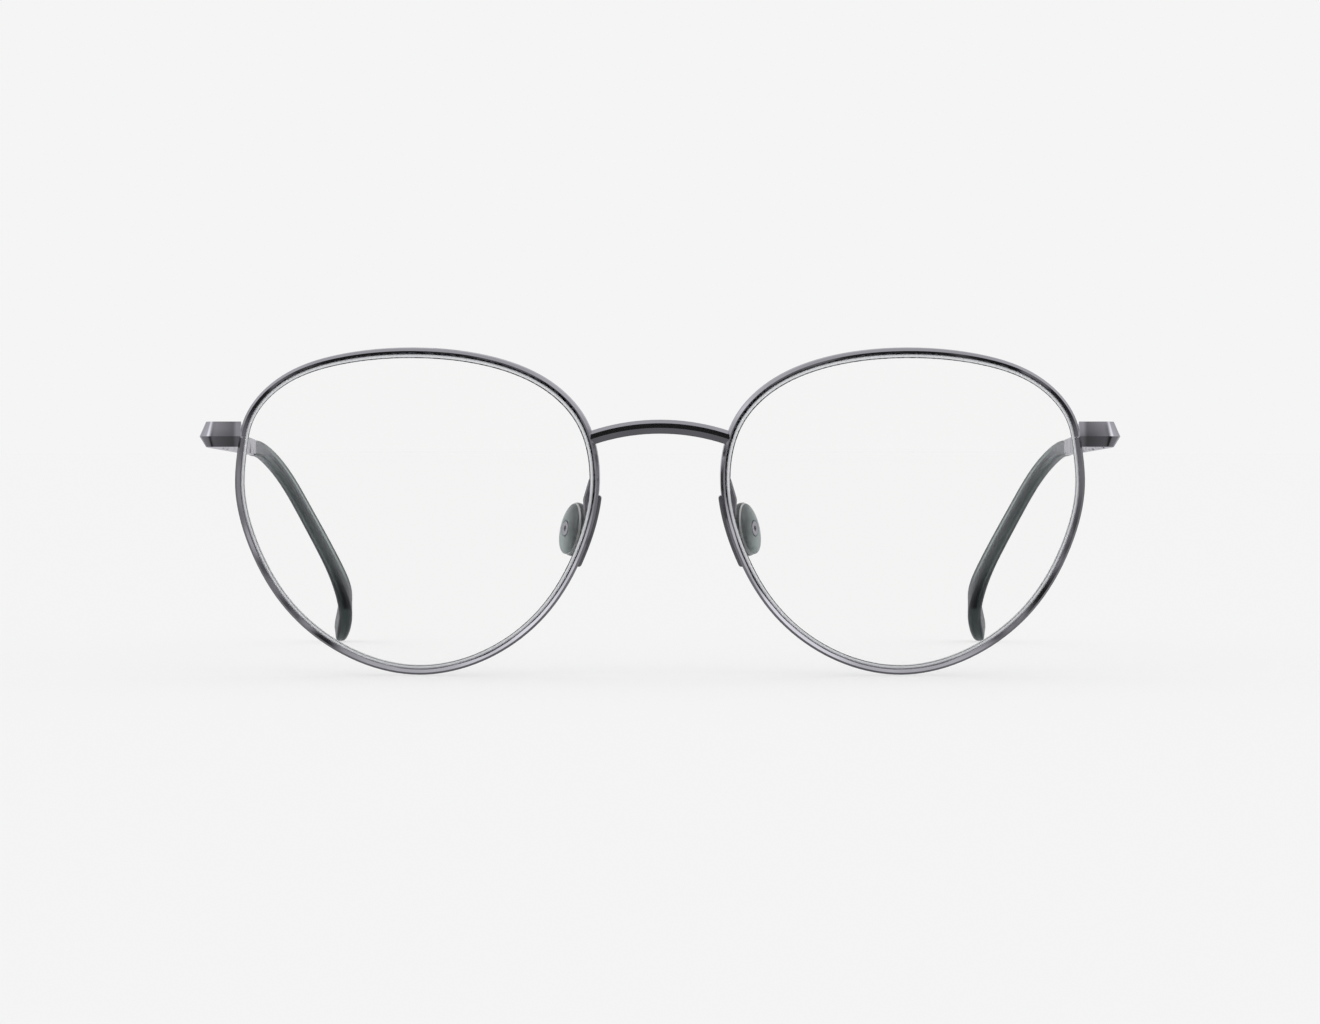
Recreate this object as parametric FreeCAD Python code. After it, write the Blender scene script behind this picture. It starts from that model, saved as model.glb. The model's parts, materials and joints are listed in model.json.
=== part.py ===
"""Round wire eyeglasses: gunmetal full-rim front, silicone nose pads, folding temples with plastic tips.

Millimetres. +X is the wearer's left, -Y is the way the front faces, +Z is up.
The glasses stand on the bottoms of both rims and on both temple tips, and the floor is Z = 0.
Only the wearer's left half is drawn. The right half is its mirror image in the plane X = 0.
"""
import FreeCAD, Part
import math
import os

from FreeCAD import Placement, Rotation, Vector

# ---- Driving dimensions: the front ----
EYE_CENTRE_X = 35.4        # middle of a rim, from the plane of symmetry
FRONT_LEAN = 6.0           # degrees that the front leans, its lower edge further back
FACE_WRAP = 4.0            # degrees that each eye turns back towards the temple
BASE_CURVE_R = 160.0       # radius of the sphere that the rims and lenses follow
RIM_MEAN_SAG = 1.95        # how far that sphere falls back at the middle radius of the rim
SPLIT_GAP = 0.16           # saw cut through each rim between its two closing blocks

# Outer edge of the left rim, from the eye's middle: x towards the temple, z up. It starts at the saw cut.
RIM_OUTLINE = [
    (26.05, 10.8), (24.4, 15.2), (19.7, 19.75), (11.4, 22.85), (0.0, 23.95), (-11.4, 22.6), (-19.3, 19.25),
    (-24.5, 13.9), (-26.65, 4.9), (-24.4, -5.7), (-19.4, -14.4), (-11.5, -20.9), (0.0, -23.95),
    (11.5, -20.8), (19.4, -14.4), (24.5, -5.8), (26.7, 3.3),
]

# Sections along the rim: (distance out from the rim's outer edge, depth back from the sphere)
RIM_SECTION = [
    (0.0, -0.35), (-0.35, -0.8), (-0.84, -0.42), (-0.92, -0.25), (-0.4, 0.2), (-0.4, 0.3), (-0.92, 0.75),
    (-0.92, 0.95), (-0.78, 1.1), (-0.15, 1.1), (0.0, 0.95),
]
LENS_EDGE_SECTION = [
    (-0.47, 0.2), (-0.99, -0.23), (-1.28, -0.42), (-1.4, -0.68), (-1.6, -0.62), (-1.6, 1.0), (-1.4, 1.03),
    (-0.99, 0.73), (-0.47, 0.3),
]
LENS_FACE_INSET = 1.4      # where the ground edge meets the polished faces, inside the rim's outer edge
LENS_FACE_POINTS = 48      # points that its outline is drawn through
LENS_FRONT = -0.5          # front of the lens, in depth from the sphere
LENS_THICKNESS = 1.8

# ---- Driving dimensions: the bridge ----
BRIDGE_TOP_Z = 12.6        # middle of the bridge's section above the eye's middle
BRIDGE_ARCH_R = 31.0
BRIDGE_Y = -1.3
BRIDGE_REACH = 19.0        # degrees of arch each side, enough to run into both rims
BRIDGE_SECTION = [(0.7, 0.8), (0.1, 1.0), (-0.6, 0.56), (-0.85, -0.1), (-0.4, -1.0), (0.7, -0.8)]

# ---- Driving dimensions: end pieces and temples, in the temple's own frame ----
TEMPLE_SLOPE = 1.7         # degrees that a temple runs down towards its tip
TEMPLE_ORIGIN = Vector(0, 1.2, 11.3)   # middle of the end pieces, from the eye's middle
WALL_HALF = 1.85           # half height of the end piece
RIDGE_OUT = 0.95           # how far the ridge stands beyond the upper and lower edges
RIDGE_DROP = 0.32          # how far the ridge lies below the middle
WALL_THICKNESS = 1.9       # from the inner face to the ridge
CORNER_X = 64.85           # axis of the end piece's bend
CORNER_Y = 2.0
CORNER_INNER_R = 0.6
END_PIECE_START_X = 61.2   # inboard end, before it is trimmed to the rim
HINGE_X = 64.1             # axis of the hinge
HINGE_Y = 6.5
KNUCKLE_R = 1.1
KNUCKLE_HEIGHT = 1.06
KNUCKLE_PITCH = 1.12
LUG_INNER_X = HINGE_X - 0.5    # inner faces of the hinge's lugs and leaves
LEAF_CLEARANCE = 0.25      # between a leaf and the barrels that turn past it
FRONT_LEAF_Y = 3.4         # far ends of the two leaves
TEMPLE_LEAF_Y = 12.5
TEMPLE_LEAF_HALF = 1.35
LUG_LENGTH = 2.5
HINGE_HEAD_R = 0.78
HINGE_HEAD_HEIGHT = 0.42
PIN_R = 0.5
PIN_CLEARANCE = 0.03
JOINT_GAP = 0.1            # between the end piece and the temple when open
SHAFT_END_Y = 75.0         # seam between the metal shaft and the plastic tip
SHAFT_END_HALF = 1.25
SHAFT_END_THICKNESS = 1.3
SHAFT_END_RIDGE_OUT = 0.25
SHAFT_END_RIDGE_DROP = 0.05
SHAFT_END_X = 64.1         # inner face of the shaft at the seam
CORE_R = 0.55              # wire core inside the tip
CORE_CLEARANCE = 0.02
CLOSING_X = (61.3, 63.3)   # the pair of blocks that clamp the rim shut
CLOSING_Y = (0.4, 3.4)
CLOSING_Z = (-1.75, 1.6)
CLOSING_SPLIT_Z = -0.32    # level with the saw cut in the rim
CLOSING_GAP = 0.16
CLOSING_SCREW_X = 62.25
CLOSING_SCREW_Y = 2.4
CLOSING_SCREW_R = 0.5
CLOSING_HEAD_R = 0.8
CLOSING_HEAD_HEIGHT = 0.35
CLOSING_SCREW_TOP_Z = 1.4
CLOSING_SCREW_LENGTH = 2.6

# Middle line of a tip from the seam: (x, y, z) in the temple's frame, and its height and thickness there
TIP_STATIONS = [
    ((64.85, 75.0, 0.0), 2.5, 1.5),
    ((64.65, 85.0, 0.0), 2.55, 1.55),
    ((64.35, 91.0, -0.25), 2.6, 1.6),
    ((63.7, 95.5, -0.95), 2.7, 1.65),
    ((62.4, 100.0, -2.6), 2.75, 1.7),
    ((60.8, 104.5, -5.2), 2.8, 1.7),
    ((58.8, 110.0, -9.2), 2.85, 1.7),
    ((56.3, 116.5, -14.45), 3.0, 1.75),
    ((53.95, 123.2, -19.95), 3.4, 1.95),
    ((52.9, 129.2, -24.8), 4.2, 2.25),
    ((53.5, 133.6, -28.1), 4.0, 2.2),
    ((54.1, 136.0, -29.75), 3.1, 1.7),
    ((54.35, 137.0, -30.4), 1.8, 1.0),
]
TIP_ROUNDING = 0.36        # corner radius as a share of the smaller side
TIP_SECTIONS = 32          # evenly spaced sections that it is drawn through
CORE_STATIONS = 10         # stations that the wire core reaches

# ---- Driving dimensions: nose pads, in the front's frame ----
PAD_CENTRE = Vector(12.45, 7.4, -3.45)
PAD_SPLAY = 22.0           # degrees that the pads open towards the face
PAD_FRONTAL = 9.0          # degrees that the pads open downwards
PAD_WIDTH = 6.5
PAD_HEIGHT = 7.95
PAD_EDGE = 1.3
PAD_BACK_CROWN = 1.1
PAD_FACE_CROWN = 0.4
ARM_R = 0.4                # wire of the pad arm, whose end is the pivot that the pad rocks on
ARM_BEND_R = 0.85
ARM_START = (9.75, 1.55)   # x and z, in the middle of the root plate
ARM_BENDS = [(9.25, 0.75, 4.8), (9.95, 2.65, 4.7), (10.9, 3.05, 1.5)]    # between the foot on the rim and the pivot
PIVOT_OUT = 4.9            # from the pad's middle to the arm's last bend
PIVOT_IN = 0.9             # how far the pivot runs past the pad's middle
PIVOT_CLEARANCE = 0.05
FOOT_ENDS = [(-26.65, 0.3, 1.95), (-23.3, 0.0, -7.5)]    # the foot lies along the back of the rim between these points
FOOT_SECTION = [(-0.5, 1.1), (0.38, 1.1), (0.38, 1.75), (-0.5, 1.75)]
ROOT_OUTLINE = [           # x and z of the plate that joins the arm to the foot, inside the rim's curve
    (9.35, 3.9), (9.9, 3.9), (10.85, 1.95), (10.95, 0.9), (11.05, -0.4), (11.2, -1.9), (11.75, -4.4), (11.1, -4.4),
    (9.6, -0.5), (9.3, 1.9),
]
ROOT_Y = (-0.2, 0.4)
INSERT_R = 0.8             # metal barrel inside the pad
BOSS_R = 1.05              # its round boss, flush with the back of the pad
BOSS_RECESS = 0.06
INSERT_START_Y = -1.7
INSERT_LENGTH = 4.0
PIVOT_END_GAP = 0.15
SET_SCREW_R = 0.4
SET_SCREW_CLEARANCE = 0.02
SET_SCREW_GAP = 0.1        # from the pivot
SET_SCREW_LENGTH = 0.95
SET_SLOT_DEPTH = 0.25
SET_SLOT_HALF = 0.11

EYE_PLACE = Placement(Vector(EYE_CENTRE_X, 0, 0), Rotation(Vector(0, 0, 1), FACE_WRAP))
FRONT_PLACE = Placement(Vector(0, 0, 0), Rotation(Vector(1, 0, 0), FRONT_LEAN))
TEMPLE_PLACE = Placement(TEMPLE_ORIGIN, Rotation(Vector(1, 0, 0), -TEMPLE_SLOPE))
X_AXIS = Vector(1, 0, 0)
Y_AXIS = Vector(0, 1, 0)
Z_AXIS = Vector(0, 0, 1)


def moved(shape, place):
    """A copy of the shape, carried by a placement."""
    carried = shape.copy()
    carried.Placement = place.multiply(carried.Placement)
    return carried


def polygon(points):
    return Part.makePolygon(list(points) + [points[0]])


def prism(points, length):
    """A solid from a closed outline, extruded along a vector."""
    return Part.Face(polygon(points)).extrude(length)


def block(x, y, z):
    """A box between two values on each axis."""
    return Part.makeBox(x[1] - x[0], y[1] - y[0], z[1] - z[0], Vector(x[0], y[0], z[0]))


def post(radius, height, foot, axis=Z_AXIS):
    return Part.makeCylinder(radius, height, foot, axis)


# ---- The front ----

def outline_curve():
    """The rim's outer edge, laid on the base curve's sphere."""
    points = []
    for x, z in RIM_OUTLINE:
        fall = (x * x + z * z) / (2 * BASE_CURVE_R)
        points.append(Vector(x, fall - RIM_MEAN_SAG, z))
    curve = Part.BSplineCurve()
    curve.interpolate(Points=points, PeriodicFlag=True)
    return curve


def inset_outline(curve, inset):
    """The rim's outline drawn in by a distance, in the plane of the eye. Its seam is away from the saw cut."""
    first, last = curve.FirstParameter, curve.LastParameter
    points = []
    for index in range(LENS_FACE_POINTS):
        place = first + (last - first) * (index + 0.5) / LENS_FACE_POINTS
        here = curve.value(place)
        along = curve.tangent(place)[0]
        inward = Vector(-along.z, 0, along.x).normalize()
        points.append(Vector(here.x, 0, here.z) + inward * inset)
    flat = Part.BSplineCurve()
    flat.interpolate(Points=points, PeriodicFlag=True)
    return flat


def sweep(section, path, curve, start):
    """Sweeps a section along the rim, with its depth always along Y."""
    base = curve.value(start)
    along = curve.tangent(start)[0]
    out = Vector(along.z, 0, -along.x).normalize()
    points = [base + out * distance + Y_AXIS * depth for distance, depth in section]
    pipe = Part.BRepOffsetAPI.MakePipeShell(Part.Wire(path))
    pipe.setBiNormalMode(Y_AXIS)
    pipe.add(polygon(points), False, False)
    pipe.build()
    pipe.makeSolid()
    return pipe.shape()


def rim():
    """One rim, split at the temple side, with a ridge in front and a groove inside for the lens."""
    curve = outline_curve()
    first, last = curve.FirstParameter, curve.LastParameter
    half_cut = SPLIT_GAP / 2 / curve.length() * (last - first)
    start = first + half_cut
    return sweep(RIM_SECTION, curve.toShape(start, last - half_cut), curve, start)


def lens():
    """A curved lens of even thickness, with a V bevel and ground chamfers round its edge."""
    curve = outline_curve()
    ring = sweep(LENS_EDGE_SECTION, curve.toShape(), curve, curve.FirstParameter)
    column = Part.Face(Part.Wire(inset_outline(curve, LENS_FACE_INSET).toShape())).extrude(Vector(0, -20, 0))
    column.translate(Vector(0, 10, 0))
    centre = Vector(0, BASE_CURVE_R - RIM_MEAN_SAG, 0)
    front = Part.makeSphere(BASE_CURVE_R - LENS_FRONT, centre)
    back = Part.makeSphere(BASE_CURVE_R - LENS_FRONT - LENS_THICKNESS, centre)
    whole = column.common(front).cut([back]).fuse([ring]).removeSplitter()
    return max(whole.Solids, key=lambda solid: solid.Volume)


def bridge(rims):
    """The arched bridge, trimmed to sit against both rims."""
    centre = Vector(0, BRIDGE_Y, BRIDGE_TOP_Z - BRIDGE_ARCH_R)
    points = [Vector(0, BRIDGE_Y + y, BRIDGE_TOP_Z + z) for y, z in BRIDGE_SECTION]
    face = Part.Face(polygon(points))
    face.rotate(centre, Y_AXIS, -BRIDGE_REACH)
    bar = face.revolve(centre, Y_AXIS, 2 * BRIDGE_REACH)
    return max(bar.cut(rims).Solids, key=lambda solid: solid.Volume)


# ---- The end piece, hinge and temple, in the temple's frame ----

def wall_section(half, thickness, ridge_out, ridge_drop):
    """The ridged section as (distance out from the inner face, height)."""
    shoulder = thickness - ridge_out
    round_off = 0.2
    return [
        (0, half - round_off), (round_off, half), (shoulder, half), (thickness, -ridge_drop), (shoulder, -half),
        (round_off, -half), (0, round_off - half),
    ]


def end_piece(neighbours):
    """From the rim out to the corner, round it, and back to the hinge, with the ridge all along."""
    section = wall_section(WALL_HALF, WALL_THICKNESS, RIDGE_OUT, RIDGE_DROP)
    rear = CORNER_Y - CORNER_INNER_R
    face = [Vector(END_PIECE_START_X, rear - out, z) for out, z in section]
    across = prism(face, Vector(CORNER_X - END_PIECE_START_X, 0, 0))
    turn_face = [Vector(CORNER_X, rear - out, z) for out, z in section]
    turn = Part.Face(polygon(turn_face)).revolve(Vector(CORNER_X, CORNER_Y, 0), Z_AXIS, 90)
    side_face = [Vector(CORNER_X + CORNER_INNER_R + out, CORNER_Y, z) for out, z in section]
    side = prism(side_face, Vector(0, HINGE_Y - JOINT_GAP / 2 - CORNER_Y, 0))
    trimmed = across.fuse([turn, side]).removeSplitter().cut(neighbours)
    return max(trimmed.Solids, key=lambda solid: solid.Volume)


def knuckle(level):
    """One barrel of the hinge, at level -1, 0 or 1."""
    foot = Vector(HINGE_X, HINGE_Y, level * KNUCKLE_PITCH - KNUCKLE_HEIGHT / 2)
    return post(KNUCKLE_R, KNUCKLE_HEIGHT, foot)


def pin_bore():
    return post(PIN_R + PIN_CLEARANCE, 6, Vector(HINGE_X, HINGE_Y, -3))


def hinge_front():
    """The two outer barrels and the leaf brazed inside the end piece."""
    inner_face = CORNER_X + CORNER_INNER_R
    top = 1.5 * KNUCKLE_PITCH
    lug_rear = HINGE_Y - JOINT_GAP / 2
    leaf = block((LUG_INNER_X, inner_face), (FRONT_LEAF_Y, HINGE_Y - KNUCKLE_R - LEAF_CLEARANCE), (-top, top))
    parts = [leaf]
    for level in (-1, 1):
        low = level * KNUCKLE_PITCH - KNUCKLE_HEIGHT / 2
        lug = block((LUG_INNER_X, inner_face), (lug_rear - LUG_LENGTH, lug_rear), (low, low + KNUCKLE_HEIGHT))
        parts += [lug, knuckle(level)]
    whole = parts[0].fuse(parts[1:])
    counterbore = post(HINGE_HEAD_R + 0.04, 1, Vector(HINGE_X, HINGE_Y, KNUCKLE_PITCH + 0.1))
    return whole.cut(pin_bore().fuse(counterbore)).removeSplitter()


def hinge_temple():
    """The middle barrel and the leaf brazed inside the temple."""
    inner_face = CORNER_X + CORNER_INNER_R
    half = KNUCKLE_HEIGHT / 2
    lug_front = HINGE_Y + JOINT_GAP / 2
    leaf_front = HINGE_Y + KNUCKLE_R + LEAF_CLEARANCE
    lug = block((LUG_INNER_X, inner_face), (lug_front, lug_front + LUG_LENGTH), (-half, half))
    leaf = block((LUG_INNER_X + 0.3, inner_face), (leaf_front, TEMPLE_LEAF_Y), (-TEMPLE_LEAF_HALF, TEMPLE_LEAF_HALF))
    return knuckle(0).fuse([lug, leaf]).cut([pin_bore(), shaft_wall()]).removeSplitter()


def slotted_screw(shank_r, head_r, head_height, length, foot, axis):
    """A screw whose head stands at foot + axis * length, with a slot across it."""
    shank = post(shank_r, length, foot, axis)
    head_foot = foot + axis * length
    head = post(head_r, head_height, head_foot, axis)
    slot = block((-head_r, head_r), (-0.12, 0.12), (head_height / 2, head_height * 2))
    slot.Placement = Placement(head_foot, Rotation(Z_AXIS, axis))
    return shank.fuse(head).removeSplitter().cut(slot)


def hinge_screw():
    foot = Vector(HINGE_X, HINGE_Y, -1.5 * KNUCKLE_PITCH)
    return slotted_screw(PIN_R, HINGE_HEAD_R, HINGE_HEAD_HEIGHT, KNUCKLE_PITCH * 2.5 + 0.15, foot, Z_AXIS)


def closing_block(upper, neighbours):
    """Half of the block that clamps the rim shut behind the end piece."""
    low, high = CLOSING_Z
    if upper:
        low = CLOSING_SPLIT_Z + CLOSING_GAP / 2
    else:
        high = CLOSING_SPLIT_Z - CLOSING_GAP / 2
    body = block(CLOSING_X, CLOSING_Y, (low, high))
    axis_foot = Vector(CLOSING_SCREW_X, CLOSING_SCREW_Y, CLOSING_SCREW_TOP_Z - CLOSING_SCREW_LENGTH)
    bore = post(CLOSING_SCREW_R + PIN_CLEARANCE, 6, axis_foot - Z_AXIS * 2)
    tools = neighbours + [bore]
    if not upper:
        tools.append(post(CLOSING_HEAD_R + 2 * PIN_CLEARANCE, 2, axis_foot - Z_AXIS * 2))
    return max(body.cut(tools).Solids, key=lambda solid: solid.Volume)


def closing_screw():
    top = Vector(CLOSING_SCREW_X, CLOSING_SCREW_Y, CLOSING_SCREW_TOP_Z)
    return slotted_screw(CLOSING_SCREW_R, CLOSING_HEAD_R, CLOSING_HEAD_HEIGHT, CLOSING_SCREW_LENGTH, top, -Z_AXIS)


def shaft_wall():
    """The ridged shaft, which tapers towards its tip."""
    start = wall_section(WALL_HALF, WALL_THICKNESS, RIDGE_OUT, RIDGE_DROP)
    end = wall_section(SHAFT_END_HALF, SHAFT_END_THICKNESS, SHAFT_END_RIDGE_OUT, SHAFT_END_RIDGE_DROP)
    near = [Vector(CORNER_X + CORNER_INNER_R + out, HINGE_Y + JOINT_GAP / 2, z) for out, z in start]
    far = [Vector(SHAFT_END_X + out, SHAFT_END_Y, z) for out, z in end]
    return Part.makeLoft([polygon(near), polygon(far)], True, True)


def temple_shaft():
    """The shaft with the wire core that the tip is pushed onto."""
    return shaft_wall().fuse(tip_bar(CORE_R)).removeSplitter()


# ---- The tip ----

def tip_curve():
    curve = Part.BSplineCurve()
    curve.interpolate(Points=[Vector(*place) for place, _, _ in TIP_STATIONS])
    return curve


def tip_section(place, along, height, thickness):
    """A rounded rectangle across the tip."""
    side = along.cross(Z_AXIS).normalize()
    up = side.cross(along).normalize()
    corner = min(height, thickness) * TIP_ROUNDING
    flat_u = thickness / 2 - corner
    flat_v = height / 2 - corner
    edges = []
    diagonal = corner * math.sqrt(0.5)

    def at(u, v):
        return place + side * u + up * v

    corners = [(1, 1), (-1, 1), (-1, -1), (1, -1)]
    for index, (a, b) in enumerate(corners):
        from_side = (a * (flat_u + corner), b * flat_v)
        middle = (a * (flat_u + diagonal), b * (flat_v + diagonal))
        from_top = (a * flat_u, b * (flat_v + corner))
        ends = [from_side, from_top] if index % 2 == 0 else [from_top, from_side]
        edges.append(Part.Arc(at(*ends[0]), at(*middle), at(*ends[1])).toShape())
        c, d = corners[(index + 1) % 4]
        if index % 2 == 0:
            next_point = (c * flat_u, d * (flat_v + corner))
        else:
            next_point = (c * (flat_u + corner), d * flat_v)
        edges.append(Part.LineSegment(at(*ends[1]), at(*next_point)).toShape())
    return Part.Wire(edges)


def tip_bar(radius):
    """A round bar along the tip's middle line, as far as the wire core reaches."""
    curve = tip_curve()
    end = curve.parameter(Vector(*TIP_STATIONS[CORE_STATIONS - 1][0]))
    path = Part.Wire(curve.toShape(curve.FirstParameter, end))
    circle = Part.Circle(curve.value(curve.FirstParameter), curve.tangent(curve.FirstParameter)[0], radius)
    pipe = Part.BRepOffsetAPI.MakePipeShell(path)
    pipe.setFrenetMode(False)
    pipe.add(Part.Wire(circle.toShape()), False, False)
    pipe.build()
    pipe.makeSolid()
    return pipe.shape()


def temple_tip():
    curve = tip_curve()
    places = [curve.parameter(Vector(*place)) for place, _, _ in TIP_STATIONS]
    sizes = Part.BSplineCurve()
    sizes.interpolate(Points=[Vector(height, thickness, 0) for _, height, thickness in TIP_STATIONS], Parameters=places)
    wires = []
    for place in curve.discretize(Number=TIP_SECTIONS):
        at = curve.parameter(place)
        size = sizes.value(at)
        wires.append(tip_section(place, curve.tangent(at)[0], size.x, size.y))
    sleeve = Part.makeLoft(wires, True, False)
    return sleeve.cut(tip_bar(CORE_R + CORE_CLEARANCE))


# ---- The nose pads, in the front's frame ----

def pad_place():
    """Carries a pad from its own frame: x is its thickness towards the nose, y its width, z its height."""
    splay = Rotation(Z_AXIS, 180 - PAD_SPLAY)
    frontal = Rotation(Y_AXIS, -PAD_FRONTAL)
    return Placement(PAD_CENTRE, frontal.multiply(splay))


def pad_body():
    """The silicone pad: an oval cushion, crowned more at the back than on the nose side."""
    oval = Part.Ellipse(Vector(0, 0, 0), PAD_HEIGHT / 2, PAD_WIDTH / 2)
    face = Part.Face(Part.Wire(oval.toShape()))
    face.rotate(Vector(0, 0, 0), Y_AXIS, 90)
    thickness = PAD_EDGE + PAD_BACK_CROWN + PAD_FACE_CROWN
    face.translate(Vector(-PAD_EDGE / 2 - PAD_BACK_CROWN, 0, 0))
    body = face.extrude(Vector(thickness, 0, 0))
    reach = PAD_HEIGHT / 2
    for crown, sign in ((PAD_BACK_CROWN, 1), (PAD_FACE_CROWN, -1)):
        radius = (reach * reach + crown * crown) / (2 * crown)
        centre = Vector(sign * (radius - PAD_EDGE / 2 - crown), 0, 0)
        body = body.common(Part.makeSphere(radius, centre))
    return body


def insert_outline():
    """The metal insert without its holes: a barrel on the pivot and a boss out to the pad's back."""
    barrel = post(INSERT_R, INSERT_LENGTH, Vector(0, INSERT_START_Y, 0), Y_AXIS)
    boss = post(BOSS_R, PAD_EDGE / 2 + PAD_BACK_CROWN - BOSS_RECESS, Vector(0, 0, 0), -X_AXIS)
    return barrel.fuse([boss]).removeSplitter()


def pad_insert():
    bore = post(ARM_R + PIVOT_CLEARANCE, INSERT_LENGTH, Vector(0, -PIVOT_IN - PIVOT_END_GAP, 0), Y_AXIS)
    thread = post(SET_SCREW_R, PAD_EDGE + PAD_BACK_CROWN, Vector(0, 0, 0), -X_AXIS)
    return insert_outline().cut([bore, thread])


def pad_screw():
    """The grub screw in the boss that keeps the pad on its pivot."""
    foot = -X_AXIS * (ARM_R + PIVOT_CLEARANCE + SET_SCREW_GAP)
    screw = post(SET_SCREW_R - SET_SCREW_CLEARANCE, SET_SCREW_LENGTH, foot, -X_AXIS)
    end = foot.x - SET_SCREW_LENGTH
    slot = block((end, end + SET_SLOT_DEPTH), (-SET_SLOT_HALF, SET_SLOT_HALF), (-SET_SCREW_R, SET_SCREW_R))
    return screw.cut([slot])


def nose_pad():
    entry = post(INSERT_R, PAD_WIDTH / 2, Vector(0, INSERT_START_Y + INSERT_LENGTH / 2, 0), Y_AXIS)
    body = pad_body().cut([insert_outline(), entry])
    return max(body.Solids, key=lambda solid: solid.Volume)


def bent_wire(points, bend, radius):
    """Round wire along straight runs, with a bend of one radius at each corner."""
    edges = []
    here = points[0]
    for before, corner, after in zip(points, points[1:], points[2:]):
        back = (before - corner).normalize()
        on = (after - corner).normalize()
        half = back.getAngle(on) / 2
        set_back = bend / math.tan(half)
        start, end = corner + back * set_back, corner + on * set_back
        bisector = (back + on).normalize()
        middle = corner + bisector * (bend / math.sin(half) - bend)
        edges.append(Part.LineSegment(here, start).toShape())
        edges.append(Part.Arc(start, middle, end).toShape())
        here = end
    edges.append(Part.LineSegment(here, points[-1]).toShape())
    circle = Part.Circle(points[0], points[1] - points[0], radius)
    return Part.Wire(edges).makePipeShell([Part.Wire(circle.toShape())], True, False)


def pad_arm():
    """The foot brazed along the back of the rim, its root plate, and the wire that carries the pad's pivot."""
    curve = outline_curve()
    top, end = (curve.parameter(Vector(*place)) for place in FOOT_ENDS)
    foot = sweep(FOOT_SECTION, curve.toShape(top, end), curve, top)
    edges = [distance for distance, _ in FOOT_SECTION]
    front, rear = FOOT_SECTION[0][1], FOOT_SECTION[-1][1]
    ends = []
    for place in (top, end):
        along = curve.tangent(place)[0]
        out = Vector(along.z, 0, -along.x).normalize()
        middle = curve.value(place) + out * (min(edges) + max(edges)) / 2 + Y_AXIS * front
        ends.append(post((max(edges) - min(edges)) / 2, rear - front, middle, Y_AXIS))
    foot = moved(foot.fuse(ends), EYE_PLACE)
    near, far = ROOT_Y
    plate = prism([Vector(x, near, z) for x, z in ROOT_OUTLINE], Y_AXIS * (far - near))
    axis = pad_place().Rotation.multVec(Y_AXIS)
    start = Vector(ARM_START[0], (near + far) / 2, ARM_START[1])
    corner = PAD_CENTRE + axis * PIVOT_OUT
    tip = PAD_CENTRE - axis * PIVOT_IN
    points = [start] + [Vector(*bend) for bend in ARM_BENDS] + [corner, tip]
    whole = foot.fuse([plate, bent_wire(points, ARM_BEND_R, ARM_R)])
    return max(whole.Solids, key=lambda solid: solid.Volume)


def build():
    left_rim = moved(moved(rim(), EYE_PLACE), FRONT_PLACE)
    left = {"rim": left_rim, "lens": moved(moved(lens(), EYE_PLACE), FRONT_PLACE)}
    eye = [moved(shape, TEMPLE_PLACE.inverse()) for shape in left.values()]
    end_solid = end_piece(eye)
    pieces = {
        "end_piece": end_solid,
        "closing_block_upper": closing_block(True, eye + [end_solid]),
        "closing_block_lower": closing_block(False, eye + [end_solid]),
        "closing_screw": closing_screw(),
        "hinge_front": hinge_front(),
        "hinge_temple": hinge_temple(),
        "hinge_screw": hinge_screw(),
        "temple_shaft": temple_shaft(),
        "temple_tip": temple_tip(),
    }
    for name, shape in pieces.items():
        left[name] = moved(shape, TEMPLE_PLACE)
    left["pad_arm"] = moved(pad_arm(), FRONT_PLACE)
    for name, shape in (("nose_pad", nose_pad()), ("pad_insert", pad_insert()), ("pad_screw", pad_screw())):
        left[name] = moved(moved(shape, pad_place()), FRONT_PLACE)
    right_rim = left_rim.mirror(Vector(0, 0, 0), Vector(1, 0, 0))
    nodes = {"bridge": bridge([moved(left_rim, FRONT_PLACE.inverse()), moved(right_rim, FRONT_PLACE.inverse())])}
    nodes["bridge"] = moved(nodes["bridge"], FRONT_PLACE)
    for name, shape in left.items():
        nodes[name + "_left"] = shape
        nodes[name + "_right"] = shape.mirror(Vector(0, 0, 0), Vector(1, 0, 0))
    return nodes


def main():
    nodes = build()
    box = FreeCAD.BoundBox()
    for shape in nodes.values():
        box.add(shape.optimalBoundingBox())
    shift = Vector(-box.Center.x, -box.Center.y, -box.ZMin)
    hinge = TEMPLE_PLACE.multVec(Vector(HINGE_X, HINGE_Y, 0)) + shift
    print("overall", box.XLength, box.YLength, box.ZLength, "shift", shift)
    print("hinge", hinge, TEMPLE_PLACE.Rotation.multVec(Z_AXIS))
    pivot = FRONT_PLACE.multiply(pad_place())
    print("pad pivot", pivot.Base + shift, pivot.Rotation.multVec(Y_AXIS))
    os.makedirs("parts", exist_ok=True)
    for name, shape in sorted(nodes.items()):
        shape.translate(shift)
        print(name, shape.ShapeType, len(shape.Solids), "valid", shape.isValid(), round(shape.Volume, 3))
        shape.exportStep("parts/%s.step" % name)


main()
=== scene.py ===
import json
import math

import bmesh
import bpy
from mathutils import Matrix, Vector


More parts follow.
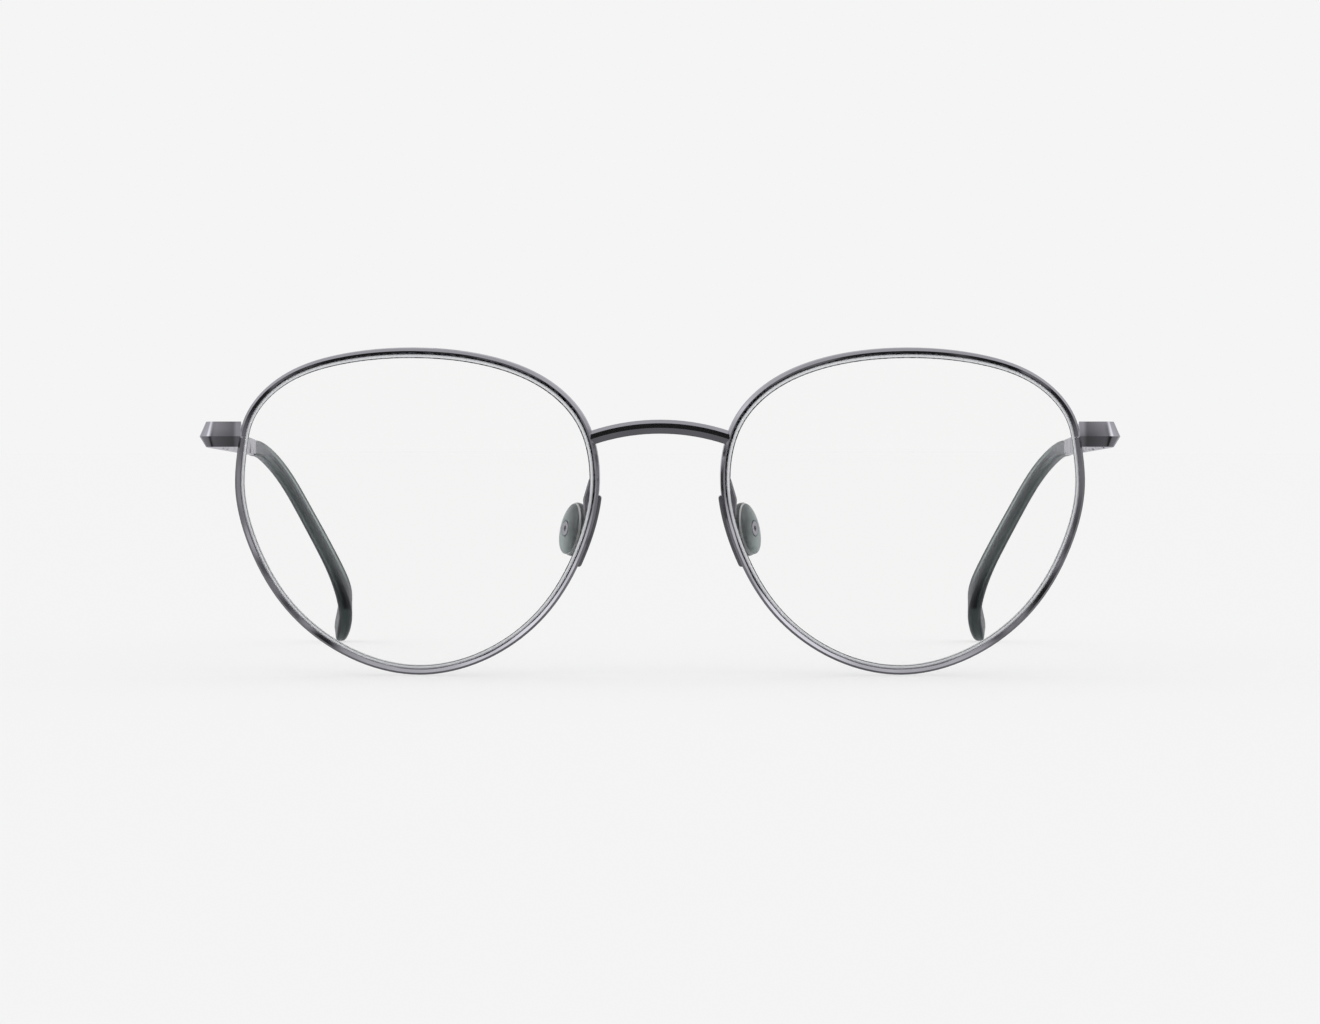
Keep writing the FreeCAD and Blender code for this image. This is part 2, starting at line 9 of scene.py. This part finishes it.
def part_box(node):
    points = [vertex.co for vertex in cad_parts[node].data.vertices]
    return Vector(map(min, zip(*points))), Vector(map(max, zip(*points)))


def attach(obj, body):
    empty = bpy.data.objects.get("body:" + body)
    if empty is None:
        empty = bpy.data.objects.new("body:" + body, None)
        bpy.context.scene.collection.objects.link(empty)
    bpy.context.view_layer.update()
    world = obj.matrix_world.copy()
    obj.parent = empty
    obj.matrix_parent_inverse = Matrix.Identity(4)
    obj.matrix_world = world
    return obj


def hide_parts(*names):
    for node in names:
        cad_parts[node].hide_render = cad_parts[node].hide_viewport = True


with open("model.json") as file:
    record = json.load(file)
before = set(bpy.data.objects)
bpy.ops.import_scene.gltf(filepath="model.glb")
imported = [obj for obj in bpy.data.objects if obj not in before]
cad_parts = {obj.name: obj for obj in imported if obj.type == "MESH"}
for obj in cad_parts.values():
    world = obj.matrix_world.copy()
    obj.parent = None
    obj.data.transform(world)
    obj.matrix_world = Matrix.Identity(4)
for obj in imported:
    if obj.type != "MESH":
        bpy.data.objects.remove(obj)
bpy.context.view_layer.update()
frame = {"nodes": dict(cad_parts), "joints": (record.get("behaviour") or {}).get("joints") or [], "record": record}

MM = 0.001

# ---- The view ----
FRONT_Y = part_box("bridge")[0].y
EYE_LEVEL = 36.95 * MM         # height of the camera above the floor
CAMERA_DISTANCE = 840.0 * MM   # from the bridge
FRAME_WIDTH = 191.6 * MM       # what the picture takes in at the bridge
CAMERA_PITCH = 0.887           # degrees down
SENSOR_WIDTH = 36.0            # mm
CLIP_START, CLIP_END = 0.01, 20

# ---- The studio ----
BACKDROP = 0.912               # brightness of the paper, as the camera sees it
SOFT_LIGHT = 1.13
PAPER = 0.8
PAPER_GLOW = 0.55              # how far the paper is lit from below, which thins the shadows
FLOOR_HALF = 6.0               # half of the paper's side

# What polished metal sees of the light tent: (height from 0 at the bottom to 1 at the top, brightness)
TENT_AROUND = [
    (0.0, 0.02), (0.01, 0.02), (0.03, 0.2), (0.08, 0.24), (0.2, 0.33), (0.5, 0.34), (0.62, 0.6), (0.75, 0.82),
    (0.9, 0.82), (0.975, 0.7), (1.0, 0.7),
]
TENT_BESIDE = [
    (0.0, 0.02), (0.008, 0.02), (0.016, 0.31), (0.027, 0.31), (0.04, 0.24), (0.06, 0.24), (0.09, 0.03), (0.15, 0.03),
    (0.3, 0.25), (0.43, 0.62), (0.6, 1.0), (0.7, 1.5), (0.8, 1.75), (0.88, 1.35), (0.95, 0.85), (1.0, 0.78),
]
TENT_AHEAD = [
    (0.0, 0.1), (0.08, 0.22), (0.2, 0.26), (0.35, 0.2), (0.55, 0.18), (0.64, 0.02), (0.81, 0.02), (0.87, 0.6),
    (0.93, 0.85), (1.0, 0.78),
]
TENT_BEHIND = 0.6              # behind the glasses, which only grazing surfaces reflect
TENT_TINT = (1.0, 0.99, 1.05)
# Where one part of the tent gives way to the next, by the Y of the direction, which is below 0 on the camera's side
BESIDE_FADE = (-0.02, -0.25)
AHEAD_FADE = (-0.3, -0.6)
BEHIND_FADE = (0.6, 0.85)

# ---- The finishes, and the painted reflection, shade and highlights among them ----
GUNMETAL = (0.43, 0.424, 0.44)
PAINTED_REFLECTION_DARK = (0.22, 0.216, 0.225)        # painted reflection on an end piece, dark next to the rim
PAINTED_REFLECTION_PALE = (0.46, 0.453, 0.47)         # and pale round its corner
PAINTED_REFLECTION_STARTS = (61.8 * MM, 62.3 * MM)    # how far from the middle the end piece, and its painted reflection, begins
PAINTED_REFLECTION_PALES = (62.5 * MM, 66.5 * MM)     # and the painted reflection turns pale
PLATING_ROUGHNESS = (0.06, 0.13)
FACET_WAVE = 0.8 * MM
STEEL = (0.62, 0.62, 0.64)
STEEL_ROUGHNESS = (0.14, 0.3)
LENS_COATING = (0.08, 0.11, 0.14)
GROUND_GLASS = (0.8, 0.81, 0.83)
GROUND_ROUGHNESS = 0.55
GROUND_CLEARNESS = 0.25
# Painted shade along the steep line of the lens's ground edge, ragged with noise
STEEP_SHADE_DARK = (0.002, 0.002, 0.003)
STEEP_SHADE_PALE = (0.16, 0.165, 0.18)
STEEP_SHADE_SPREAD = (0.44, 0.56)                 # of the noise, between the darkest and the palest painted shade on the steep line
# The |Y| of the lens's normal below which a face belongs to the ground edge, and to the steep line on it
GROUND_TILT = (0.93, 0.9)
STEEP_TILT = (0.62, 0.56)
TIP_CLEAR = (0.97, 0.985, 0.98)
TIP_END = (0.42, 0.415, 0.425)             # its lowest part
TIP_DARKENS = (13 * MM, 7 * MM)            # heights between which it darkens
TIP_SMOKE = (0.63, 0.68, 0.665)
TIP_DENSITY = 1300
TIP_ROUGHNESS = 0.32
TIP_GRAIN = (0.7, 1.3)                     # how its roughness varies
SOFT_RIPPLE = 0.02 * MM                    # of moulded plastic
# Each colour of a pad, painted light included: (darkest shade, lightest shade, paler shade)
# the back: painted shade darker towards the bottom, its paler shade a painted highlight on its outer edge
PAD_BACK = ((0.08, 0.096, 0.093), (0.24, 0.265, 0.26), (0.52, 0.6, 0.59))
# the nose side: painted shade, darkest on its front edge
PAD_NOSE_SIDE_SHADE = ((0.04, 0.046, 0.045), (0.115, 0.127, 0.124), (0.3, 0.33, 0.32))
# the seam: a painted highlight, white at the top and dark towards the bottom
PAD_SEAM_HIGHLIGHT = ((0.1, 0.112, 0.11), (1, 1, 1), (0.5, 0.55, 0.55))
PAD_SHADE_FADE = (16.5 * MM, 26.5 * MM)          # heights between which a pad's painted shade lightens upwards
# heights between which the seam's painted highlight brightens upwards
SEAM_HIGHLIGHT_FADE = (19.5 * MM, 23.5 * MM)
PAD_OUTER_HIGHLIGHT = (12.7 * MM, 14.4 * MM)    # how far from the middle its painted highlight on the outer edge lies
NOSE_FACING = (-0.5, 0.1)                  # the normal's Y on the nose side, from its front edge, in its darkest painted shade, to its face

# ---- The nose pads, in a pad's own frame: x is its thickness towards the nose, y its width, z its height ----
PAD_WIDTH = 6.5
PAD_HEIGHT = 7.95
PAD_SPLAY = 22.0               # degrees that the pads open towards the face
PAD_FRONTAL = 9.0              # degrees that the pads open downwards
FRONT_LEAN = 6.0               # degrees that the front leans
PAD_STEPS = 72                 # points round the pad
PAD_TAPER = 0.05               # how much narrower its top is than its middle
BOSS_HOLE_R = 1.2              # round hole in the back, where the metal boss shows
PAD_SAG = 0.8                  # how strongly the back thickens towards the bottom
SAG_FROM_X = -0.3              # where that starts
# From the middle of the nose side, over the rim and the seam, to the edge of the boss hole:
# (share of the outline's size, x)
PAD_PROFILE = [
    (0.0, 1.03), (0.35, 1.01), (0.62, 0.94), (0.8, 0.83), (0.91, 0.68), (0.975, 0.46), (1.0, 0.18), (1.0, -0.3),
    (0.985, -0.58), (0.945, -0.64), (0.925, -0.75), (0.94, -0.86), (0.95, -0.93), (0.935, -1.05), (0.9, -1.17),
    (0.84, -1.3), (0.75, -1.43), (0.61, -1.57), (0.46, -1.67),
]
INNER_SHARE = PAD_PROFILE[-1][0]
SEAM_RINGS = range(8, 11)      # strips between two rings of the profile that make the seam
# Down the hole: (radius in mm, x)
PAD_HOLE = [(1.28, -1.7), (BOSS_HOLE_R, -1.66), (BOSS_HOLE_R, -0.9)]
NOSE_SIDE, SEAM = 1, 2         # places of the nose side's painted shade and the seam's painted highlight among the pad's materials
SHARP_EDGE = 20                # degrees between faces that stay a sharp edge


# ---- Helpers for nodes ----

def node_tree(owner):
    owner.use_nodes = True
    tree = owner.node_tree
    tree.nodes.clear()
    return tree


def add(tree, kind, **settings):
    node = tree.nodes.new(kind)
    for name, value in settings.items():
        setattr(node, name, value)
    return node


def feed(tree, socket, value):
    """Puts another socket's output, a number or a colour into a socket."""
    if isinstance(value, bpy.types.NodeSocket):
        tree.links.new(value, socket)
    elif isinstance(value, tuple):
        socket.default_value = (*value, 1)
    else:
        socket.default_value = value


def maths(tree, operation, first, second=0, clamp=False):
    node = add(tree, "ShaderNodeMath", operation=operation, use_clamp=clamp)
    feed(tree, node.inputs[0], first)
    feed(tree, node.inputs[1], second)
    return node.outputs[0]


def colour_ramp(tree, place, levels, tint):
    """A ramp from (place, level) pairs, with one tint."""
    ramp = add(tree, "ShaderNodeValToRGB")
    stops = ramp.color_ramp.elements
    while len(stops) < len(levels):
        stops.new(0.5)
    for stop, (position, level) in zip(stops, levels):
        stop.position = position
        stop.color = (*(level * part for part in tint), 1)
    tree.links.new(place, ramp.inputs[0])
    return ramp.outputs[0]


def remap(tree, value, span, to=(0, 1), smooth=False):
    """Turns a value between the ends of span into one between the ends of to, and no further."""
    node = add(tree, "ShaderNodeMapRange", interpolation_type="SMOOTHSTEP" if smooth else "LINEAR")
    for name, number in zip(("From Min", "From Max", "To Min", "To Max"), (*span, *to)):
        node.inputs[name].default_value = number
    tree.links.new(value, node.inputs["Value"])
    return node.outputs[0]


def axis_of(tree, axis, source="Object"):
    """One coordinate: of the place on the object, of its normal, or of a direction in the world."""
    coords = add(tree, "ShaderNodeTexCoord")
    split = add(tree, "ShaderNodeSeparateXYZ")
    tree.links.new(coords.outputs[source], split.inputs[0])
    return split.outputs[axis]


def sideways(tree):
    """Distance from the middle of the glasses."""
    return maths(tree, "ABSOLUTE", axis_of(tree, "X"))


def noise(tree, scale, detail=2.0, stretch=(1, 1, 1)):
    """Noise fixed to the object, finer for a larger scale."""
    coords = add(tree, "ShaderNodeTexCoord")
    mapping = add(tree, "ShaderNodeMapping")
    mapping.inputs["Scale"].default_value = stretch
    tree.links.new(coords.outputs["Object"], mapping.inputs["Vector"])
    node = add(tree, "ShaderNodeTexNoise")
    node.inputs["Scale"].default_value = scale
    node.inputs["Detail"].default_value = detail
    tree.links.new(mapping.outputs[0], node.inputs["Vector"])
    return node.outputs[0]


def bump(tree, height, distance, shader):
    node = add(tree, "ShaderNodeBump")
    node.inputs["Strength"].default_value = 1.0
    node.inputs["Distance"].default_value = distance
    tree.links.new(height, node.inputs["Height"])
    tree.links.new(node.outputs[0], shader.inputs["Normal"])


def mix_colour(tree, factor, first, second):
    node = add(tree, "ShaderNodeMix", data_type="RGBA")
    for name, value in (("Factor", factor), ("A", first), ("B", second)):
        feed(tree, node.inputs[name], value)
    return node.outputs["Result"]


def mix_shader(tree, factor, first, second):
    node = add(tree, "ShaderNodeMixShader")
    for socket, value in zip(node.inputs, (factor, first, second)):
        feed(tree, socket, value)
    return node.outputs[0]


def principled(name, colour, roughness, metallic=0.0, **sockets):
    material = bpy.data.materials.new(name)
    tree = node_tree(material)
    shader = add(tree, "ShaderNodeBsdfPrincipled")
    feed(tree, shader.inputs["Base Color"], colour)
    shader.inputs["Metallic"].default_value = metallic
    shader.inputs["Roughness"].default_value = roughness
    for socket, value in sockets.items():
        feed(tree, shader.inputs[socket.replace("_", " ")], value)
    out = add(tree, "ShaderNodeOutputMaterial")
    tree.links.new(shader.outputs[0], out.inputs[0])
    return material, tree, shader, out


# ---- The studio ----

def make_camera():
    camera = bpy.data.objects.new("camera", bpy.data.cameras.new("camera"))
    bpy.context.scene.collection.objects.link(camera)
    camera.location = (0, FRONT_Y - CAMERA_DISTANCE, EYE_LEVEL)
    camera.rotation_euler = (math.radians(90 - CAMERA_PITCH), 0, 0)
    camera.data.sensor_width = SENSOR_WIDTH
    camera.data.lens = SENSOR_WIDTH * CAMERA_DISTANCE / FRAME_WIDTH
    camera.data.clip_start = CLIP_START
    camera.data.clip_end = CLIP_END
    bpy.context.scene.camera = camera


def background(tree, colour, strength=1.0):
    shader = add(tree, "ShaderNodeBackground")
    feed(tree, shader.inputs["Color"], colour)
    shader.inputs["Strength"].default_value = strength
    return shader.outputs[0]


def make_world():
    """Soft light on the scene, a tent with dark walls for the metal to reflect, and a plain pale backdrop."""
    world = bpy.data.worlds.new("studio")
    bpy.context.scene.world = world
    tree = node_tree(world)
    height = remap(tree, axis_of(tree, "Z", "Generated"), (-1, 1))
    depth = axis_of(tree, "Y", "Generated")
    tent = colour_ramp(tree, height, TENT_AROUND, TENT_TINT)
    for fade, wall in (
        (BESIDE_FADE, colour_ramp(tree, height, TENT_BESIDE, TENT_TINT)),
        (AHEAD_FADE, colour_ramp(tree, height, TENT_AHEAD, TENT_TINT)),
        (BEHIND_FADE, tuple(TENT_BEHIND * part for part in TENT_TINT)),
    ):
        tent = mix_colour(tree, remap(tree, depth, fade, smooth=True), tent, wall)
    path = add(tree, "ShaderNodeLightPath")
    direct = maths(tree, "MAXIMUM", path.outputs["Is Camera Ray"], path.outputs["Is Transmission Ray"])
    diffused = maths(tree, "MINIMUM", path.outputs["Diffuse Depth"], 1)
    glossed = maths(tree, "MINIMUM", path.outputs["Glossy Depth"], 1)
    by_metal = maths(tree, "SUBTRACT", glossed, diffused, clamp=True)
    lit = mix_shader(tree, by_metal, background(tree, (1, 1, 1), SOFT_LIGHT), background(tree, tent))
    by_camera = maths(tree, "SUBTRACT", direct, maths(tree, "MAXIMUM", diffused, glossed), clamp=True)
    out = add(tree, "ShaderNodeOutputWorld")
    tree.links.new(mix_shader(tree, by_camera, lit, background(tree, (BACKDROP,) * 3)), out.inputs["Surface"])


def make_floor():
    """A plain sheet of paper. Polished metal sees the tent in its place."""
    mesh = bpy.data.meshes.new("floor")
    corners = [(x * FLOOR_HALF, y * FLOOR_HALF, 0) for x, y in ((-1, -1), (1, -1), (1, 1), (-1, 1))]
    mesh.from_pydata(corners, [], [(0, 1, 2, 3)])
    floor = bpy.data.objects.new("floor", mesh)
    bpy.context.scene.collection.objects.link(floor)
    material = bpy.data.materials.new("paper")
    tree = node_tree(material)
    matt = add(tree, "ShaderNodeBsdfDiffuse")
    feed(tree, matt.inputs["Color"], (PAPER,) * 3)
    glow = add(tree, "ShaderNodeEmission")
    feed(tree, glow.inputs["Color"], (BACKDROP,) * 3)
    paper = mix_shader(tree, PAPER_GLOW, matt.outputs[0], glow.outputs[0])
    clear = add(tree, "ShaderNodeBsdfTransparent")
    path = add(tree, "ShaderNodeLightPath")
    glossed = maths(tree, "MINIMUM", path.outputs["Glossy Depth"], 1)
    out = add(tree, "ShaderNodeOutputMaterial")
    tree.links.new(mix_shader(tree, glossed, paper, clear.outputs[0]), out.inputs[0])
    mesh.materials.append(material)


# ---- Materials ----

def gunmetal():
    """Dark plating, polished, on facets that are not perfectly flat, with a painted reflection on the end pieces,
    dark next to the rim and pale round the corner.
    """
    material, tree, shader, _ = principled("gunmetal", GUNMETAL, metallic=1.0, roughness=0.1)
    # painted reflection: the end pieces' colour runs from dark next to the rim to pale round the corner
    painted_reflection = mix_colour(tree, remap(tree, sideways(tree), PAINTED_REFLECTION_PALES), PAINTED_REFLECTION_DARK, PAINTED_REFLECTION_PALE)
    colour = mix_colour(tree, remap(tree, sideways(tree), PAINTED_REFLECTION_STARTS), GUNMETAL, painted_reflection)
    tree.links.new(colour, shader.inputs["Base Color"])
    grain = noise(tree, scale=1500, detail=4)
    tree.links.new(remap(tree, grain, (0, 1), PLATING_ROUGHNESS), shader.inputs["Roughness"])
    bump(tree, noise(tree, scale=110, detail=1), FACET_WAVE, shader)
    return material


def steel():
    """Bright steel with fine scratches."""
    material, tree, shader, _ = principled("bright_steel", STEEL, metallic=1.0, roughness=0.22)
    scratches = noise(tree, scale=2600, detail=3, stretch=(0.2, 1, 1))
    tree.links.new(remap(tree, scratches, (0, 1), STEEL_ROUGHNESS), shader.inputs["Roughness"])
    return material


def lens_glass():
    """Clear, coated lens with a ground edge, and painted shade along its steep line, ragged with noise."""
    material, tree, shader, _ = principled(
        "lens", (1, 1, 1), roughness=0.0, Transmission_Weight=1.0, IOR=1.5, Specular_Tint=LENS_COATING)
    upright = maths(tree, "ABSOLUTE", axis_of(tree, "Y", "Normal"))
    ground = remap(tree, upright, GROUND_TILT)
    # painted shade on the steep line, ragged with noise
    ragged_shade = remap(tree, noise(tree, scale=2600, detail=3), STEEP_SHADE_SPREAD)
    steep_shade = mix_colour(tree, ragged_shade, STEEP_SHADE_DARK, STEEP_SHADE_PALE)
    edge = mix_colour(tree, remap(tree, upright, STEEP_TILT), GROUND_GLASS, steep_shade)
    tree.links.new(mix_colour(tree, ground, (1, 1, 1), edge), shader.inputs["Base Color"])
    tree.links.new(remap(tree, ground, (0, 1), (0, GROUND_ROUGHNESS)), shader.inputs["Roughness"])
    tree.links.new(remap(tree, ground, (0, 1), (1, GROUND_CLEARNESS)), shader.inputs["Transmission Weight"])
    return material


def tip_plastic():
    """A clear plastic with smoke-coloured depth, darker at its low end."""
    material, tree, shader, out = principled(
        "tip_plastic", TIP_CLEAR, roughness=TIP_ROUGHNESS, Transmission_Weight=1.0, IOR=1.49)
    grain = noise(tree, scale=700, detail=3)
    roughness = remap(tree, grain, (0, 1), tuple(TIP_ROUGHNESS * part for part in TIP_GRAIN))
    tree.links.new(roughness, shader.inputs["Roughness"])
    low = remap(tree, axis_of(tree, "Z"), TIP_DARKENS, smooth=True)
    tree.links.new(mix_colour(tree, low, TIP_CLEAR, TIP_END), shader.inputs["Base Color"])
    bump(tree, noise(tree, scale=420), SOFT_RIPPLE, shader)
    smoke = add(tree, "ShaderNodeVolumeAbsorption")
    feed(tree, smoke.inputs["Color"], TIP_SMOKE)
    smoke.inputs["Density"].default_value = TIP_DENSITY
    tree.links.new(smoke.outputs[0], out.inputs["Volume"])
    return material


def silicone(name, shades, paling, fade=PAD_SHADE_FADE):
    """Cloudy soft plastic, with painted shade darker towards the bottom, and of its paler shade where paling says
    so.
    """
    dark, light, pale = shades
    material, tree, shader, _ = principled(name, light, roughness=0.2, Transmission_Weight=0.4, IOR=1.45)
    cloud = noise(tree, scale=260, detail=3)
    # painted shade: darker towards the bottom, mixed with random cloudy tone
    lighter = remap(tree, axis_of(tree, "Z"), fade)
    shade = maths(tree, "MULTIPLY", maths(tree, "ADD", cloud, lighter), 0.5)
    body = mix_colour(tree, shade, dark, light)
    tree.links.new(mix_colour(tree, paling(tree), body, pale), shader.inputs["Base Color"])
    bump(tree, noise(tree, scale=900), SOFT_RIPPLE, shader)
    return material


def painted_highlight_outwards(tree):
    """A painted highlight on the pad's edge that is furthest from the nose."""
    return remap(tree, sideways(tree), PAD_OUTER_HIGHLIGHT)


def paler_on_the_nose(tree):
    """On the face that lies on the nose, and not on the front edge, which keeps the darker painted shade."""
    return remap(tree, axis_of(tree, "Y", "Normal"), NOSE_FACING, smooth=True)


def smooth(mesh):
    mesh.polygons.foreach_set("use_smooth", [True] * len(mesh.polygons))


# ---- The nose pads ----

def pad_matrix(joint):
    """Carries a left pad from its own frame to its place; its own origin lies on the pivot."""
    turn = (
        Matrix.Rotation(math.radians(FRONT_LEAN), 4, "X")
        @ Matrix.Rotation(math.radians(-PAD_FRONTAL), 4, "Y")
        @ Matrix.Rotation(math.radians(180 - PAD_SPLAY), 4, "Z")
    )
    place = Vector(joint["pos_m"])
    place.x = abs(place.x)
    return Matrix.Translation(place) @ turn


def pad_rings():
    """Each ring round the pad as (function from an angle to y and z in mm, x, how far its top leans to the nose)."""
    rings = []
    for share, x in PAD_PROFILE[1:]:
        def oval(angle, share=share):
            up = math.sin(angle)
            return PAD_WIDTH / 2 * share * math.cos(angle) * (1 - PAD_TAPER * up), PAD_HEIGHT / 2 * share * up
        rings.append((oval, x, PAD_SAG * max(0, SAG_FROM_X - x) * max(0, share - INNER_SHARE)))
    for radius, x in PAD_HOLE:
        def circle(angle, radius=radius):
            return radius * math.cos(angle), radius * math.sin(angle)
        rings.append((circle, x, 0))
    return rings


def make_pad(side):
    joint = next(j for j in frame["joints"] if j["name"] == f"pad_{side}_rock")
    matrix = pad_matrix(joint)
    mirror = -1 if side == "right" else 1
    mesh = bmesh.new()

    def corner(x, y, z):
        point = matrix @ Vector((x * MM, y * MM, z * MM))
        return mesh.verts.new((point.x * mirror, point.y, point.z))

    face_middle = corner(PAD_PROFILE[0][1], 0, 0)
    loops = []
    for outline, x, sag in pad_rings():
        ring = []
        for step in range(PAD_STEPS):
            y, z = outline(2 * math.pi * step / PAD_STEPS)
            ring.append(corner(x + sag * z / (PAD_HEIGHT / 2), y, z))
        loops.append(ring)
    floor_middle = corner(PAD_HOLE[-1][1], 0, 0)
    for step in range(PAD_STEPS):
        after = (step + 1) % PAD_STEPS
        mesh.faces.new((face_middle, loops[0][step], loops[0][after])).material_index = NOSE_SIDE
        for index, (inner, outer) in enumerate(zip(loops, loops[1:]), 1):
            face = mesh.faces.new((inner[step], outer[step], outer[after], inner[after]))
            if index < SEAM_RINGS[0]:
                face.material_index = NOSE_SIDE
            elif index in SEAM_RINGS:
                face.material_index = SEAM
        mesh.faces.new((loops[-1][step], floor_middle, loops[-1][after]))
    bmesh.ops.recalc_face_normals(mesh, faces=mesh.faces)
    data = bpy.data.meshes.new(f"silicone_pad_{side}")
    mesh.to_mesh(data)
    mesh.free()
    smooth(data)
    pad = bpy.data.objects.new(f"silicone_pad_{side}", data)
    bpy.context.scene.collection.objects.link(pad)
    rounding = pad.modifiers.new("rounding", "SUBSURF")
    rounding.levels = 1
    rounding.render_levels = 1
    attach(pad, f"pad_{side}")
    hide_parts(f"nose_pad_{side}")
    return pad


# ---- Putting it together ----

def dress_nodes():
    slots = {entry["node"]: entry["material_slot"] for entry in frame["record"]["subparts"]}
    finishes = {
        "gunmetal": gunmetal(), "bright_steel": steel(), "lens": lens_glass(), "tip_plastic": tip_plastic(),
        "silicone": silicone("silicone", PAD_BACK, painted_highlight_outwards),
    }
    # the pad's body, its nose side in painted shade, and its seam as a painted highlight
    pad_materials = [
        finishes["silicone"],
        silicone("silicone_nose_side_painted_shade", PAD_NOSE_SIDE_SHADE, paler_on_the_nose),
        silicone("silicone_seam_painted_highlight", PAD_SEAM_HIGHLIGHT, painted_highlight_outwards, SEAM_HIGHLIGHT_FADE),
    ]
    for name, obj in frame["nodes"].items():
        mesh = obj.data
        mesh.materials.clear()
        mesh.materials.append(finishes[slots[name]])
        smooth(mesh)
        mesh.set_sharp_from_angle(angle=math.radians(SHARP_EDGE))
    for side in ("left", "right"):
        pad = make_pad(side)
        for finish in pad_materials:
            pad.data.materials.append(finish)


make_camera()
make_world()
make_floor()
dress_nodes()
bpy.context.scene.view_settings.view_transform = "Standard"
